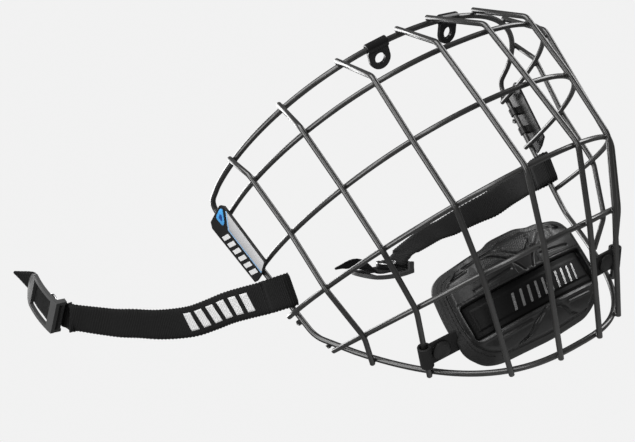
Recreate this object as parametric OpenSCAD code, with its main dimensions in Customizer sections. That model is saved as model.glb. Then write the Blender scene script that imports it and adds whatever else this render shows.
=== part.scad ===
// Hockey helmet cage: a welded wire face guard with two forehead eyelets, two side
// plates, two webbing straps with buckles, and a moulded chin cup.
// X runs across the face, -Y is the front, +Z is up. The origin is the middle of
// the brow edge, where the cage meets the front of a helmet. Millimetres.

/* [Wires] */
// Diameter of the upright wires
upright_d = 3.0; // [2.4:0.1:4]
// Diameter of the cross wires
cross_d = 2.8; // [2.4:0.1:4]
// Diameter of the closed edge wire
edge_d = 3.2; // [2.6:0.1:4]
// How far a tip stands past the wire that it is welded to
tip_past = 1.5; // [0.5:0.5:4]

/* [Cross wires, from brow to mouth] */
// Half width of each cross wire at the side edge
row_half = [103, 98.2, 99.2, 91]; // [70:0.1:120]
// Reach of each cross wire ahead of the origin
row_front = [31.5, 37.5, 44, 21.5]; // [10:0.5:60]
// Drop of each cross wire below the origin at the front
row_drop = [26.5, 61.5, 100.5, 134.5]; // [10:0.5:160]
// Rise of each cross wire from the front to the side edge
row_rise = [-2.5, -1.5, 5, 11]; // [-10:0.5:20]
// Squareness of each cross wire's curve, where 2 is an ellipse
row_square = [2.2, 2.2, 1.97, 1.9]; // [1.7:0.05:2.6]
// Depth behind the origin at which the cross wires run straight back
row_back = 102.5; // [80:0.5:120]

/* [Upright wires, from the middle out] */
// Half spacing of the middle pair at each cross wire
middle_x = [15, 15.5, 16, 14.5]; // [10:0.5:22]
// Half spacing of the second pair at each cross wire
second_x = [49, 49.5, 48.5, 43]; // [38:0.5:54]
// Half spacing of the third pair at each cross wire
third_x = [80, 77.5, 75.5, 68]; // [62:0.5:84]
// Half spacing of the outer pair at each cross wire
outer_x = [97.8, 93.6, 92.6, 83.8]; // [78:0.1:99]
// Half spacing of each pair of upright wires at the brow edge
upright_top_x = [10, 45, 75.5, 99]; // [5:0.5:110]
// Half spacing of each pair of upright wires at the chin edge
upright_chin_x = [13, 36, 63.5, 79]; // [5:0.5:100]
// Height of the brow bend above the first cross wire
brow_bend = 3; // [1:0.5:8]

/* [Edge wire] */
// Half width of the brow edge
brow_half = 107.5; // [90:0.5:125]
// Depth of the brow edge, front to back
brow_depth = 105.5; // [80:0.5:130]
// Drop of the brow edge, front to back
brow_fall = 17.5; // [0:0.5:40]
// Half width of the chin edge where it meets the sides
chin_half = 93.4; // [80:0.1:110]
// Setback of the middle of the chin edge behind the origin
chin_setback = 19; // [0:0.5:40]
// Drop of the middle of the chin edge below the origin
chin_drop = 184.5; // [150:0.5:220]
// Depth of the chin edge from its middle to the sides
chin_depth = 78; // [50:0.5:100]
// Rise of the chin edge from its middle to the sides
chin_rise = 72; // [40:0.5:100]

/* [Forehead eyelets] */
// Distance of each eyelet from the middle of the brow edge
eyelet_x = 24; // [18:0.5:30]
// Diameter of the screw hole in each eyelet
eyelet_hole_d = 6; // [4:0.1:7]
// Width of each eyelet
eyelet_w = 12.6; // [11:0.1:16]
// Thickness of each eyelet's ear
eyelet_t = 2.2; // [1.6:0.1:3]
// Distance from the edge wire to the screw hole
eyelet_reach = 7.6; // [7:0.1:12]

/* [Side plates] */
// Width of each side plate
plate_w = 21; // [16:0.5:24]
// Height of each side plate without its tail
plate_h = 36; // [30:0.5:40]
// Thickness of each side plate
plate_t = 1.4; // [1:0.1:2]

/* [Straps and buckles] */
// Width of the webbing
strap_w = 19; // [16:0.5:20]
// Thickness of the webbing
strap_t = 1.4; // [1:0.1:2]
// Length of each buckle
buckle_l = 35; // [32:0.5:40]
// Thickness of each buckle's frame
buckle_t = 2.4; // [2:0.1:3]

/* [Chin cup] */
// Radius of the chin cup's front, seen from above
cup_r = 72; // [66:1:80]
// Setback of the chin cup's front behind the origin
cup_setback = 22; // [18:0.5:26]
// Half width of the chin cup
cup_half = 49; // [48:0.5:52]
// Drop of the chin cup's top edge below the origin
cup_top = 116; // [113:0.5:119]
// Thickness of the chin cup's shell
cup_t = 3; // [2:0.1:4]
// Thickness of the foam liner
liner_t = 5; // [3:0.5:7]
// Diameter of the press studs in the straps
snap_d = 13.5; // [9:0.5:14]
// Diameter of the caps on the chin cup's tabs
cap_d = 10.5; // [8:0.5:12]

/* [Hidden] */

upright_r = upright_d / 2;
cross_r = cross_d / 2;
edge_r = edge_d / 2;
weld = 0.15;
gap = 0.3;
sides = 10;
head_middle = [0, 80, -100];
wire_colour = [0.23, 0.23, 0.23];

// ---- small helpers ----

function unit(v) = v / norm(v);
function square_off(v, along) = unit(v - along * (v * along));
function flip(p) = [-p[0], p[1], p[2]];
function signed_power(v, e) = (v < 0 ? -1 : 1) * pow(abs(v), e);

// Moves and turns its children so that X, Y and Z lie along the three given axes.
module placed(at, x, y, z) {
  multmatrix([
    [x[0], y[0], z[0], at[0]],
    [x[1], y[1], z[1], at[1]],
    [x[2], y[2], z[2], at[2]],
    [0, 0, 0, 1]
  ])
    children();
}

// Draws its children on the wearer's right (-1) or left (1) side.
module on_side(side) {
  if (side < 0) children();
  else mirror([1, 0, 0]) children();
}

// ---- swept wires ----

// Replaces each inner corner of a path by a smooth turn that starts `ease` before it.
function eased(path, ease, steps = 3) = concat(
  [path[0]],
  [for (i = [1:len(path) - 2], s = [0:steps])
    let (
      p = path[i],
      a = p + unit(path[i - 1] - p) * ease[i],
      b = p + unit(path[i + 1] - p) * ease[i],
      t = s / steps
    )
    (1 - t) * (1 - t) * a + 2 * t * (1 - t) * p + t * t * b],
  [path[len(path) - 1]]
);

function tangent(path, i, closed) =
  let (n = len(path))
  closed
    ? unit(path[(i + 1) % n] - path[(i + n - 1) % n])
    : unit(path[min(i + 1, n - 1)] - path[max(i - 1, 0)]);

// One ring of points square to the path, turned to face away from the head.
function ring(path, i, r, closed) =
  let (
    t = tangent(path, i, closed),
    u = square_off(path[i] - head_middle, t),
    v = cross(t, u)
  )
  [for (k = [0:sides - 1]) path[i] + r * (cos(360 * k / sides) * u + sin(360 * k / sides) * v)];

module wire(path, r, closed = false) {
  n = len(path);
  points = [for (i = [0:n - 1]) each ring(path, i, r, closed)];
  spans = closed ? n : n - 1;
  walls = [for (i = [0:spans - 1], k = [0:sides - 1])
    let (a = i * sides, b = ((i + 1) % n) * sides, m = (k + 1) % sides)
    [a + k, b + k, b + m, a + m]];
  caps = closed ? [] : [
    [for (k = [0:sides - 1]) k],
    [for (k = [0:sides - 1]) n * sides - 1 - k]
  ];
  color(wire_colour)
    polyhedron(points, concat(walls, caps), convexity = 10);
}

// ---- cross wires ----

// A point on cross wire `row`, at `turn` degrees round the face.
function row_point(row, turn) =
  let (
    e = 2 / row_square[row],
    x = row_half[row] * signed_power(sin(turn), e),
    back = 1 - pow(max(cos(turn), 0), e),
    y = -row_front[row] + (row_back + row_front[row]) * back
  )
  [x, y, -row_drop[row] + row_rise[row] * back];

// How far each cross wire runs on, straight back, to lap the edge wire.
row_tail = [4.5, 1.5, 0, 0];
// The turn at which each cross wire stops.
row_end = [90, 90, 90, 84];

function row_path(row) =
  let (
    turns = [for (k = [-14:14]) row_end[row] * k / 14],
    last = row_point(row, row_end[row]),
    past = last + unit(last - row_point(row, row_end[row] - 2)) * max(row_tail[row], 0.5)
  )
  concat([flip(past)], [for (t = turns) row_point(row, t)], [past]);

module cross_wire(row) {
  wire(row_path(row), cross_r);
}

// ---- edge wire ----

function brow_point(x) =
  let (back = 1 - sqrt(1 - pow(x / brow_half, 2)))
  [x, brow_depth * back, -brow_fall * back];

function chin_point(x) =
  let (s = abs(x) / chin_half)
  [x, chin_setback + chin_depth * pow(s, 2.1), -chin_drop + chin_rise * pow(s, 2.8)];

brow_corner = brow_point(brow_half);
chin_corner = chin_point(chin_half);
side_down = unit(chin_corner - brow_corner);

brow_run = [for (t = [-80:5:80]) brow_point(brow_half * sin(t))];
chin_run = [for (k = [12:-1:-12]) chin_point(chin_half * 0.9 * k / 12)];
brow_ease = 8;
chin_ease = 6;

function corner_turn(before, corner, after, ease) =
  let (turned = eased([before, corner, after], [0, ease, 0], 4))
  [for (i = [1:len(turned) - 2]) turned[i]];

edge_path = concat(
  brow_run,
  corner_turn(brow_run[len(brow_run) - 1], brow_corner, chin_corner, brow_ease),
  corner_turn(brow_corner, chin_corner, chin_run[0], chin_ease),
  chin_run,
  corner_turn(flip(chin_run[0]), flip(chin_corner), flip(brow_corner), chin_ease),
  corner_turn(flip(chin_corner), flip(brow_corner), brow_run[0], brow_ease)
);

module edge_wire() {
  wire(edge_path, edge_r, closed = true);
}

// ---- upright wires ----

spacing = [middle_x, second_x, third_x, outer_x];

// The turn round the face at which cross wire `row` is x away from the middle.
function turn_at(row, x) = asin(pow(x / row_half[row], row_square[row] / 2));

// Where upright k meets each wire, top to bottom, on the wearer's left side.
function crossings(k) = concat(
  [brow_point(upright_top_x[k])],
  [for (row = [0:3]) row_point(row, turn_at(row, spacing[k][row]))],
  [chin_point(upright_chin_x[k])]
);

// The direction of the crossed wire at each of those places.
function crossed_along(k) = concat(
  [unit(brow_point(upright_top_x[k] + 1) - brow_point(upright_top_x[k] - 1))],
  [for (row = [0:3])
    let (a = turn_at(row, spacing[k][row]))
    unit(row_point(row, a + 0.5) - row_point(row, a - 0.5))],
  [unit(chin_point(upright_chin_x[k] + 1) - chin_point(upright_chin_x[k] - 1))]
);

// The upright's own direction at each of those places, going down.
function upright_along(p) = [
  unit(p[1] - p[0]),
  unit(p[2] - p[1]),
  unit(p[3] - p[1]),
  unit(unit(p[3] - p[2]) + unit(p[4] - p[3])),
  unit(p[5] - p[3]),
  unit(p[5] - p[4])
];

// The upright's centreline lies outside each wire by the two radii, less the weld.
function upright_marks(k) =
  let (p = crossings(k), a = crossed_along(k), d = upright_along(p))
  [for (i = [0:5])
    let (
      n = unit(cross(a[i], d[i])),
      out = n * (p[i] - head_middle) > 0 ? n : -n,
      other_r = i == 0 || i == 5 ? edge_r : cross_r
    )
    p[i] + out * (upright_r + other_r - weld)];

function upright_path(k) =
  let (
    m = upright_marks(k),
    bend = m[1] + unit(m[1] - m[2]) * brow_bend,
    top = m[0] + unit(m[0] - bend) * tip_past,
    foot = m[5] + unit(m[5] - m[4]) * tip_past
  )
  eased([top, bend, m[1], m[2], m[3], m[4], foot], [0, 2.5, 0.4, 4, 4, 4, 0]);

// Uprights 1 to 8 run from the wearer's right to the wearer's left.
module upright(number) {
  k = number <= 4 ? 4 - number : number - 5;
  path = upright_path(k);
  wire(number <= 4 ? [for (p = path) flip(p)] : path, upright_r);
}

// ---- forehead eyelets ----

eyelet_at = brow_point(-eyelet_x);
eyelet_along = unit(brow_point(-eyelet_x + 1) - brow_point(-eyelet_x - 1));
eyelet_down = square_off([0.1, 0.73, -0.68], eyelet_along);
eyelet_face = cross(eyelet_along, eyelet_down);
eyelet_bore_r = edge_r + gap;
eyelet_wall = 1.1;

module eyelet(side) {
  color([0.07, 0.07, 0.07])
    on_side(side)
      placed(eyelet_at, eyelet_along, eyelet_down, eyelet_face)
        difference() {
          union() {
            rotate([0, 90, 0])
              cylinder(r = eyelet_bore_r + eyelet_wall, h = eyelet_w, center = true, $fn = 64);
            translate([-eyelet_w / 2, 0, -eyelet_t / 2])
              cube([eyelet_w, eyelet_reach, eyelet_t]);
            translate([0, eyelet_reach, -eyelet_t / 2])
              cylinder(d = eyelet_w, h = eyelet_t, $fn = 64);
          }
          rotate([0, 90, 0])
            cylinder(r = eyelet_bore_r, h = eyelet_w + 2, center = true, $fn = 64);
          translate([0, eyelet_reach, -eyelet_t])
            cylinder(d = eyelet_hole_d, h = eyelet_t * 2, $fn = 64);
        }
}

// ---- side plates ----

side_top = flip(brow_corner);
side_along = unit(flip(chin_corner) - side_top);
plate_back = square_off([-0.2, 1, 0], side_along);
plate_out = cross(plate_back, side_along);
plate_lift = edge_r + gap + strap_t + gap;
clip_bore_r = edge_r + 0.05;
clip_wall = 0.8;
clip_l = 5;

// The plate's outline: first number forward of the side wire, second number down it.
plate_outline = [
  [-7, 11], [-4, 8], [plate_w - 8.5, 7.3], [plate_w - 5.3, 10.3],
  [plate_w - 7, 13.4 + plate_h], [5, 15.3 + plate_h], [-4, 15.5 + plate_h], [-6.5, 14.8 + plate_h]
];

// A plate stands off the side wire on two moulded clips.
module side_plate(side) {
  color([0.1, 0.1, 0.11])
    on_side(side)
      placed(side_top + plate_out * plate_lift, -plate_back, side_along, plate_out)
        union() {
          linear_extrude(plate_t)
            polygon(plate_outline);
          for (down = [19, 33])
            translate([0, down, -plate_lift])
              difference() {
                union() {
                  rotate([-90, 0, 0])
                    cylinder(r = clip_bore_r + clip_wall, h = clip_l, $fn = 48);
                  translate([-1.5, 0, 0])
                    cube([3, clip_l, plate_lift + 0.2]);
                }
                translate([0, -1, 0])
                  rotate([-90, 0, 0])
                    cylinder(r = clip_bore_r, h = clip_l + 2, $fn = 48);
              }
        }
}

// ---- straps ----

strap_down = 65;
strap_hinge = side_top + side_along * strap_down;
bar_r = 1.5;
bar_turn_r = bar_r + gap + strap_t / 2;

// The middle of the webbing where it is folded round the side wire and sewn shut.
// The first number runs back from the wire, the second across the webbing.
loop_across = edge_r + gap + strap_t / 2;
loop_seam = strap_t / 2 + 0.1;
loop_path = [
  [12, -loop_seam], [9, -loop_seam - 0.2], [5, -loop_across], [-5, -loop_across],
  [-7.3, -loop_across * 0.65], [-8.2, 0], [-7.3, loop_across * 0.65],
  [-5, loop_across], [5, loop_across], [9, loop_seam + 0.2], [12, loop_seam]
];

// Directions at each end of each strap: which way the webbing leaves the side wire,
// and which way the buckle's bar lies.
start_right = unit([-0.55, 0.8, 0.24]);
start_left = unit([-0.1, 0.97, 0.08]);
bar_right = unit([0.306, -0.834, 0.46]);
bar_left = unit([-0.05, 0.85, 0.52]);

// Middle of the webbing from the sewn seam to the buckle's bar. The right strap trails
// out behind the cage; the left one is folded in across the back of it.
route_right = [
  [-117, 129, -72], [-125, 142, -69], [-133, 153, -66], [-141, 163, -61],
  [-149, 172, -55], [-157, 180, -48], [-164.5, 188.5, -41.5], [-171.5, 196, -34.5],
  [-177.5, 202, -28.5], [-183.5, 207.5, -22.5]
];
route_left = [
  [97, 122, -79], [98, 145, -77], [93, 161, -77], [84, 169, -76],
  [72, 172, -76], [59, 171, -77], [45, 168, -77], [31, 164, -79], [19, 160, -81]
];
bar_at_right = [-188.8, 212.1, -17.3];
bar_at_left = [10, 160, -86];

// A ring of four points across the webbing.
function web_ring(p, along, up, w, t) =
  let (u = square_off(up, along) * w / 2, n = unit(cross(along, up)) * t / 2)
  [p + u + n, p - u + n, p - u - n, p + u - n];

// Webbing swept along a path, with the direction of its edge at each point.
module webbing(path, ups, widths, t) {
  n = len(path);
  points = [for (i = [0:n - 1])
    each web_ring(path[i], tangent(path, i, false), ups[i], widths[min(i, len(widths) - 1)], t)];
  walls = [for (i = [0:n - 2], k = [0:3])
    let (a = i * 4, b = a + 4, m = (k + 1) % 4)
    each [[a + k, b + k, b + m], [a + k, b + m, a + m]]];
  last = n * 4 - 1;
  ends = [[0, 1, 2], [0, 2, 3], [last, last - 1, last - 2], [last, last - 2, last - 3]];
  polyhedron(points, concat(walls, ends), convexity = 10);
}

// The turn of the webbing round the buckle's bar, entered from the inner side.
function bar_turn(at, e, m) = concat(
  [at + m * bar_turn_r + e * 5],
  [for (a = [90:23:297]) at + (e * cos(a) + m * sin(a)) * bar_turn_r]
);

module strap(hinge, start, wire_up, route, bar_at, bar_along, inner) {
  up = square_off(wire_up, start);
  across = cross(up, start);
  e = square_off(route[len(route) - 1] - bar_at, bar_along);
  side = cross(bar_along, e);
  m = side * inner > 0 ? side : -side;
  folded = [for (p = loop_path) hinge + start * p[0] + across * p[1]];
  turned = bar_turn(bar_at, e, m);
  path = concat(folded, route, turned);
  ups = concat(
    [for (p = folded) up],
    [for (i = [1:len(route)])
      let (s = i / (len(route) + 1))
      up * (1 - s) + bar_along * s],
    [for (p = turned) bar_along]
  );
  color([0.05, 0.05, 0.05])
    webbing(path, ups, [strap_w], strap_t);
}

// ---- buckles ----

// A buckle is drawn with its bar along Y at the origin, its length along X and its
// outer face towards +Z. The frame bulges outwards and stands off the bar, clear of
// the webbing that turns round the bar.
along_right = unit([-0.018, 0.478, 0.878]);
along_left = unit([-0.957, -0.192, 0.219]);
frame_off = bar_r + gap * 2 + strap_t + buckle_t / 2;
frame_r = 85;
frame_mid = buckle_l / 2 - 1.5;
frame_sink = sqrt(pow(frame_r, 2) - pow(frame_mid, 2)) - frame_off;
frame_w = strap_w + 5;
frame_end = 8;
window_w = strap_w + 0.2;
window_from = 4;
window_to = buckle_l - 9;
post_l = 3.4;
post_w = (frame_w - strap_w) / 2 - 0.4;
tail_t = strap_t;
snap_at = 11.5;

// The point at distance x along the buckle, on a circle that is `in` inside its middle.
function arc_point(x, in) =
  [x, 0, sqrt(pow(frame_r - in, 2) - pow(x - frame_mid, 2)) - frame_sink];

module buckle_frame(side) {
  at = side < 0 ? bar_at_right : bar_at_left;
  x = side < 0 ? along_right : along_left;
  bar = side < 0 ? bar_right : bar_left;
  z = side < 0 ? unit(cross(bar, x)) : unit(cross(x, bar));
  placed(at, x, cross(z, x), z)
    children();
}

frame_outline = concat(
  [[-bar_r - 0.2, -frame_w / 2]],
  [for (a = [-90:7.5:90]) [buckle_l - frame_end + frame_end * cos(a), frame_w / 2 * sin(a)]],
  [[-bar_r - 0.2, frame_w / 2]]
);

module buckle() {
  color([0.27, 0.27, 0.27])
    union() {
      intersection() {
        translate([frame_mid, 0, -frame_sink])
          rotate([90, 0, 0])
            difference() {
              cylinder(r = frame_r + buckle_t / 2, h = frame_w + 2, center = true, $fn = 96);
              cylinder(r = frame_r - buckle_t / 2, h = frame_w + 4, center = true, $fn = 96);
            }
        translate([0, 0, -10])
          linear_extrude(30)
            difference() {
              polygon(frame_outline);
              translate([window_from, -window_w / 2])
                square([window_to - window_from, window_w]);
            }
      }
      for (y = [-frame_w / 2, frame_w / 2 - post_w])
        translate([-bar_r, y, -bar_r])
          cube([post_l, post_w, bar_r + frame_off]);
      rotate([90, 0, 0])
        cylinder(r = bar_r, h = frame_w, center = true, $fn = 48);
    }
}

// The tail runs inside the frame and ends in a soft leaf. The first number is the
// distance along the buckle, the second the height above the frame's inner face and
// the third how far the webbing has turned on its side.
tail_run = [[3.5, 0, 0], [6, -0.2, 0], [9, -0.5, 0], [12, -0.7, 0], [15, -0.7, 0], [18, -0.5, 0], [21, -0.3, 0]];
leaf_right = [
  [24, -0.2, 0], [27, -0.1, 0], [30, -0.1, 0], [33, -0.1, 0], [35.8, 0.6, 0],
  [38.4, 2.4, 0], [41, 4.6, 0], [43.5, 6.8, 0], [45.8, 8.9, 0], [47.6, 10.6, 0]
];
leaf_left = [
  [24, -0.7, 0], [27, -1.6, 5], [30, -2.8, 12], [33, -3.9, 20], [36, -4.2, 30],
  [39, -3.8, 38], [42, -2.8, 42], [45.5, -1, 40], [48.5, 0.7, 35], [50.5, 1.9, 30]
];
tail_widths = [19, 19, 19, 19, 19, 19, 19, 19, 19, 18.6, 17.4, 15.4, 12.8, 9.8, 6.4, 3.8, 2];

module strap_tail(leaf) {
  run = concat(tail_run, leaf);
  path = [for (p = run) arc_point(p[0], buckle_t / 2 + tail_t / 2 - p[1])];
  color([0.05, 0.05, 0.05])
    webbing(path, [for (p = run) [0, cos(p[2]), sin(p[2])]], tail_widths, tail_t);
}

// A snap socket stands on the inner face of the tail, open towards the helmet.
socket_r = 2;
socket_l = 1.6;
snap_h = 3.8;
snap_base = arc_point(snap_at, buckle_t / 2 + tail_t + 0.7)[2] + 0.1;

module strap_snap() {
  color([0.75, 0.75, 0.75])
    translate([snap_at, 0, snap_base - snap_h])
      difference() {
        cylinder(d = snap_d, h = snap_h, $fn = 64);
        translate([0, 0, -1])
          cylinder(r = socket_r, h = socket_l + 1, $fn = 64);
      }
}

// ---- chin cup ----

cup_axis = cup_setback + cup_r;

// The cup's front outline, right half then left half: distance from the middle, drop.
cup_edge = [
  [0, -0.6], [9, -0.6], [15, 1.8], [22, 1.7], [30, 2.6], [40, 3.6], [cup_half - 4, 6.2],
  [cup_half - 1, 12],
  [cup_half, 26], [cup_half, 38], [cup_half - 2, 47], [cup_half - 10, 55], [30, 58.5], [0, 60]
];
cup_outline = concat(
  [for (p = cup_edge) [p[0], -cup_top - p[1]]],
  [for (i = [len(cup_edge) - 2:-1:1]) [-cup_edge[i][0], -cup_top - cup_edge[i][1]]]
);

// The wall's section: how far it rolls back behind the front, and its drop.
cup_roll = [[9, -2], [6, 1], [2, 6], [0, 13], [0, 41], [3, 48], [8, 53.5], [14, 58], [17, 60.5]];

module cup_wall(outer, inner) {
  translate([0, cup_axis, -cup_top])
    rotate_extrude($fn = 128)
      polygon(concat(
        [for (p = cup_roll) [cup_r - outer - p[0], -p[1]]],
        [for (i = [len(cup_roll) - 1:-1:0]) [cup_r - inner - cup_roll[i][0], -cup_roll[i][1]]]
      ));
}

module cup_front(inset) {
  translate([0, 60, 0])
    rotate([90, 0, 0])
      linear_extrude(60)
        intersection() {
          polygon(cup_outline);
          translate([-cup_half + inset, -cup_top - 62 + inset])
            square([(cup_half - inset) * 2, 64 - inset]);
        }
}

band_half = 41;
band_top = cup_top + 24;
band_h = 18.5;
band_depth = 1.2;

module band_box(slack) {
  translate([0, 60, -band_top - band_h / 2])
    rotate([90, 0, 0])
      linear_extrude(60)
        square([(band_half + slack) * 2, band_h + slack * 2], center = true);
}

module cup_shell() {
  color([0.12, 0.12, 0.12])
    difference() {
      intersection() {
        cup_wall(0, cup_t);
        cup_front(0);
      }
      intersection() {
        translate([0, cup_axis, -cup_top - 60])
          difference() {
            cylinder(r = cup_r + 1, h = 60, $fn = 128);
            translate([0, 0, -1])
              cylinder(r = cup_r - band_depth, h = 62, $fn = 128);
          }
        band_box(0.2);
      }
    }
}

module cup_band() {
  color([0.03, 0.03, 0.03])
    intersection() {
      translate([0, cup_axis, -cup_top - 60])
        difference() {
          cylinder(r = cup_r - 0.3, h = 60, $fn = 128);
          translate([0, 0, -1])
            cylinder(r = cup_r - band_depth + 0.05, h = 62, $fn = 128);
        }
      band_box(0);
    }
}

module cup_liner() {
  color([0.08, 0.08, 0.08])
    intersection() {
      cup_wall(cup_t + 0.1, cup_t + 0.1 + liner_t);
      cup_front(6);
    }
}

// ---- cup tabs and snaps ----

tab_bore_r = upright_r + gap + 0.5;
tab_wall = 1.3;
tab_l = 13;
tab_t = 1.4;
tab_reach = 8.2;
tab_end = 19.5;
tab_drop = 152.7;
tab_marks = upright_marks(2);
tab_share = (-tab_drop - tab_marks[4][2]) / (tab_marks[5][2] - tab_marks[4][2]);
tab_at = flip(tab_marks[4] + (tab_marks[5] - tab_marks[4]) * tab_share);
tab_down = flip(unit(tab_marks[5] - tab_marks[4]));
tab_in = square_off([0.987, -0.16, 0], tab_down);
tab_face = cross(tab_in, tab_down);

module on_tab(side) {
  on_side(side)
    placed(tab_at, tab_in, tab_down, tab_face)
      children();
}

module cup_tab(side) {
  color([0.06, 0.06, 0.06])
    on_tab(side)
      difference() {
        union() {
          rotate([90, 0, 0])
            cylinder(r = tab_bore_r + tab_wall, h = tab_l, center = true, $fn = 64);
          translate([0, -tab_l / 2, -tab_t / 2])
            cube([tab_end, tab_l, tab_t]);
        }
        rotate([90, 0, 0])
          cylinder(r = tab_bore_r, h = tab_l + 2, center = true, $fn = 64);
      }
}

module snap_cap(side) {
  color([0.1, 0.1, 0.1])
    on_tab(side)
      mirror([0, 0, 1])
        translate([tab_reach + 0.8, 0, tab_t / 2]) {
          cylinder(d = cap_d, h = 1.2, $fn = 64);
          translate([0, 0, 1.2])
            cylinder(d1 = cap_d, d2 = cap_d - 3, h = 0.8, $fn = 64);
        }
}

module snap_stud(side) {
  color([0.1, 0.1, 0.1])
    on_tab(side)
      translate([tab_reach + 0.8, 0, tab_t / 2])
        union() {
          cylinder(d = 9, h = 1, $fn = 48);
          cylinder(d = 5, h = 2, $fn = 48);
        }
}

edge_wire();
upright(1);  // upright_1
upright(2);  // upright_2
upright(3);  // upright_3
upright(4);  // upright_4
upright(5);  // upright_5
upright(6);  // upright_6
upright(7);  // upright_7
upright(8);  // upright_8
cross_wire(0);  // cross_brow
cross_wire(1);  // cross_eye
cross_wire(2);  // cross_nose
cross_wire(3);  // cross_mouth
side_plate(-1);  // side_plate_right
side_plate(1);  // side_plate_left
eyelet(-1);  // eyelet_right
eyelet(1);  // eyelet_left
strap(strap_hinge, start_right, -side_along, route_right, bar_at_right, bar_right, [1, 0, 0]);  // strap_right
strap(flip(strap_hinge), start_left, -flip(side_along), route_left, bar_at_left, bar_left,  // strap_left
    [0.26, -0.53, 0.8]);
buckle_frame(-1) buckle();  // buckle_right
buckle_frame(1) buckle();  // buckle_left
buckle_frame(-1) strap_tail(leaf_right);  // strap_tail_right
buckle_frame(1) strap_tail(leaf_left);  // strap_tail_left
buckle_frame(-1) strap_snap();  // strap_snap_right
buckle_frame(1) strap_snap();  // strap_snap_left
cup_shell();
cup_liner();
cup_band();
cup_tab(-1);  // cup_tab_right
cup_tab(1);  // cup_tab_left
snap_cap(-1);  // snap_cap_right
snap_cap(1);  // snap_cap_left
snap_stud(-1);  // snap_stud_right
snap_stud(1);  // snap_stud_left
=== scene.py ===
import math

import bpy
import numpy as np
from mathutils import Matrix, Vector


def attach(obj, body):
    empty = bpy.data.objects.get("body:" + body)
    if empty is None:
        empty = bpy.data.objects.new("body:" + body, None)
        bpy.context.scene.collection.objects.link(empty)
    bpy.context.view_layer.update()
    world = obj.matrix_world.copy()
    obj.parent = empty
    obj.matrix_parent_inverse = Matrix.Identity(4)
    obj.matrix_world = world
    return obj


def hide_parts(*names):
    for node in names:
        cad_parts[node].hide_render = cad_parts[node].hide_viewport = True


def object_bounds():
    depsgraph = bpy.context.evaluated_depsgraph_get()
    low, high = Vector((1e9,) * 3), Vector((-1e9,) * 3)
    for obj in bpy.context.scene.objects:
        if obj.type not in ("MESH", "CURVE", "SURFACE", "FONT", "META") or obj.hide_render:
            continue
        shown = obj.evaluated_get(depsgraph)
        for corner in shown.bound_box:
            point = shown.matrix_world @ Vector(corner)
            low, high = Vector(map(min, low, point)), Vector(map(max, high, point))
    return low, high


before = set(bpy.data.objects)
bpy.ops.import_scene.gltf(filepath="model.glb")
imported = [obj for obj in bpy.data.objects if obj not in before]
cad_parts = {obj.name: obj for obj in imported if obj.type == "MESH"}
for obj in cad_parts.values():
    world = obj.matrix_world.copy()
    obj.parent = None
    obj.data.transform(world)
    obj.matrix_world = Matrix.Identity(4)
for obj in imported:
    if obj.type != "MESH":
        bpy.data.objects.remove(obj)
cad_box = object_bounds()

# The object's own sizes, in millimetres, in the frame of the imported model: X across the face with the
# wearer's left positive, -Y the front, Z up, and 0 at the middle of the brow edge.

# The four cross wires from the top down: half width, how far forward and down the middle stands, the rise
# towards the back, the curve's squareness, the straight end, and the angle at which the curve stops.
ROW_HALF = [103, 98.2, 99.2, 91]
ROW_FRONT = [31.5, 37.5, 44, 21.5]
ROW_DROP = [26.5, 61.5, 100.5, 134.5]
ROW_RISE = [-2.5, -1.5, 5, 11]
ROW_SQUARE = [2.2, 2.2, 1.97, 1.9]
ROW_TAIL = [4.5, 1.5, 0, 0]
ROW_END = [90, 90, 90, 84]
ROW_BACK = 102.5

# The four uprights of one side from the middle outwards: X where each crosses the rows and the edge wire.
SPACING = [[15, 15.5, 16, 14.5], [49, 49.5, 48.5, 43], [80, 77.5, 75.5, 68], [97.8, 93.6, 92.6, 83.8]]
TOP_X = [10, 45, 75.5, 99]
CHIN_X = [13, 36, 63.5, 79]
BROW_BEND, TIP_PAST, WELD = 3, 1.5, 0.15

# The edge wire's two curves, and the wires' radii.
BROW_HALF, BROW_DEPTH, BROW_FALL = 107.5, 105.5, 17.5
CHIN_HALF, CHIN_SETBACK, CHIN_DROP, CHIN_DEPTH, CHIN_RISE = 93.4, 19, 184.5, 78, 72
UPRIGHT_R, CROSS_R, EDGE_R, GAP = 1.5, 1.4, 1.6, 0.3

# A point inside the head, which the wires' outer sides face away from.
HEAD = np.array([0, 80, -100.0])

STRAP_W, STRAP_T, STRAP_DOWN = 19, 1.4, 65
BUCKLE_T, BUCKLE_L, FRAME_R = 2.4, 35, 85
CUP_R, CUP_AXIS, CUP_TOP, CUP_HALF = 72, 94, 116, 49
BAND_HALF, BAND_RISE, BAND_Z = 41, 9.25, -149.25


def vec(*p):
    return np.array(p if len(p) > 1 else p[0], float)


def unit(v):
    v = np.asarray(v, float)
    return v / np.linalg.norm(v)


def square_off(v, along):
    """The unit vector nearest to v at right angles to `along`."""
    v = np.asarray(v, float)
    return unit(v - along * (v @ along))


def flip(p):
    """The mirror image on the cage's other side."""
    return np.asarray(p, float) * [-1, 1, 1]


def smooth(edge0, edge1, x):
    """0 below edge0, 1 above edge1, and a smooth step between them."""
    t = np.clip((x - edge0) / (edge1 - edge0), 0, 1)
    return t * t * (3 - 2 * t)


# ---- mesh helpers ----

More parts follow.
